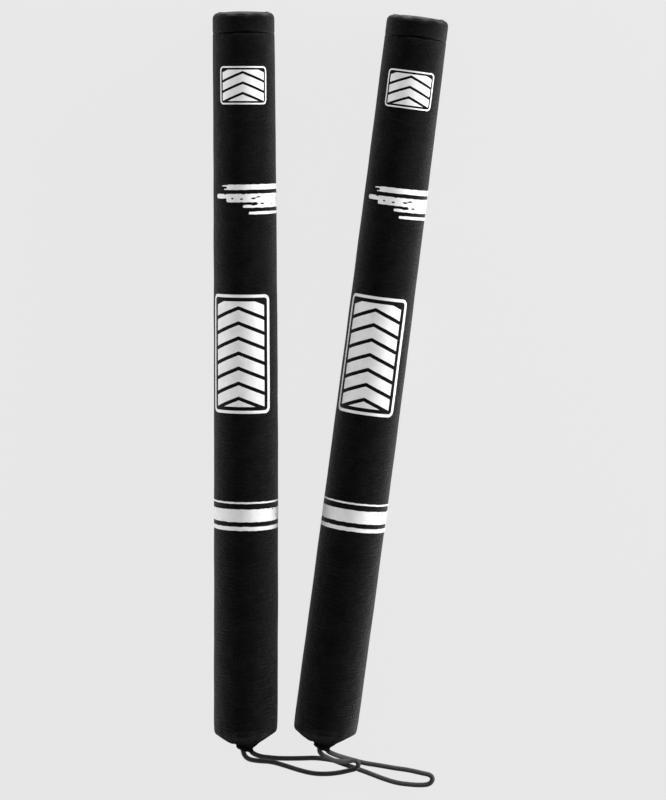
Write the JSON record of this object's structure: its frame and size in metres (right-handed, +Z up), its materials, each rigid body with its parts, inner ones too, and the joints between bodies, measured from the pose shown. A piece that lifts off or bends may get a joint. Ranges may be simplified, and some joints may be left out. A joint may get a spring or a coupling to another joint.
{
  "type": "padded focus training sticks",
  "caption": "Pair of padded striking sticks for boxing and martial arts coaching, each a foam-covered tube in a fabric cover with a braided wrist cord.",
  "frame": {"origin": "bottom centre of the box round the two sticks, on the surface they lie on, without their wrist cords", "axes": "+Y along the left stick from its gathered end to its closed end, +X towards the right stick, +Z up from the surface"},
  "size_m": [0.1931, 0.6466, 0.0519],
  "materials": {
    "cover": "fine matt stretch knit",
    "thread": "waxed sewing thread",
    "cord": "round braid",
    "foam": "closed-cell foam",
    "tube": "extruded plastic tube",
    "plug": "moulded",
    "print": "screen-printed ink"
  },
  "bodies": {
    "left_stick": {"left_core_tube": "tube", "left_top_plug": "plug", "left_base_plug": "plug", "left_foam_sleeve": "foam", "left_top_foam_disc": "foam", "left_cover_sleeve": "cover", "left_cover_top_panel": "cover", "left_top_seam": "thread", "left_side_seam": "thread", "left_mouth_hem": "cover", "left_gather_thread": "thread", "left_wrist_cord": "cord", "left_cord_knot": "cord"},
    "right_stick": {"right_core_tube": "tube", "right_top_plug": "plug", "right_base_plug": "plug", "right_foam_sleeve": "foam", "right_top_foam_disc": "foam", "right_cover_sleeve": "cover", "right_cover_top_panel": "cover", "right_top_seam": "thread", "right_side_seam": "thread", "right_mouth_hem": "cover", "right_gather_thread": "thread", "right_wrist_cord": "cord", "right_cord_knot": "cord"}
  },
  "joints": [
    {"name": "left_stick_lift", "type": "slide", "parent": "right_stick", "child": "left_stick", "axis": [0, 0, 1], "range_m": [0, 0.2]}
  ]
}
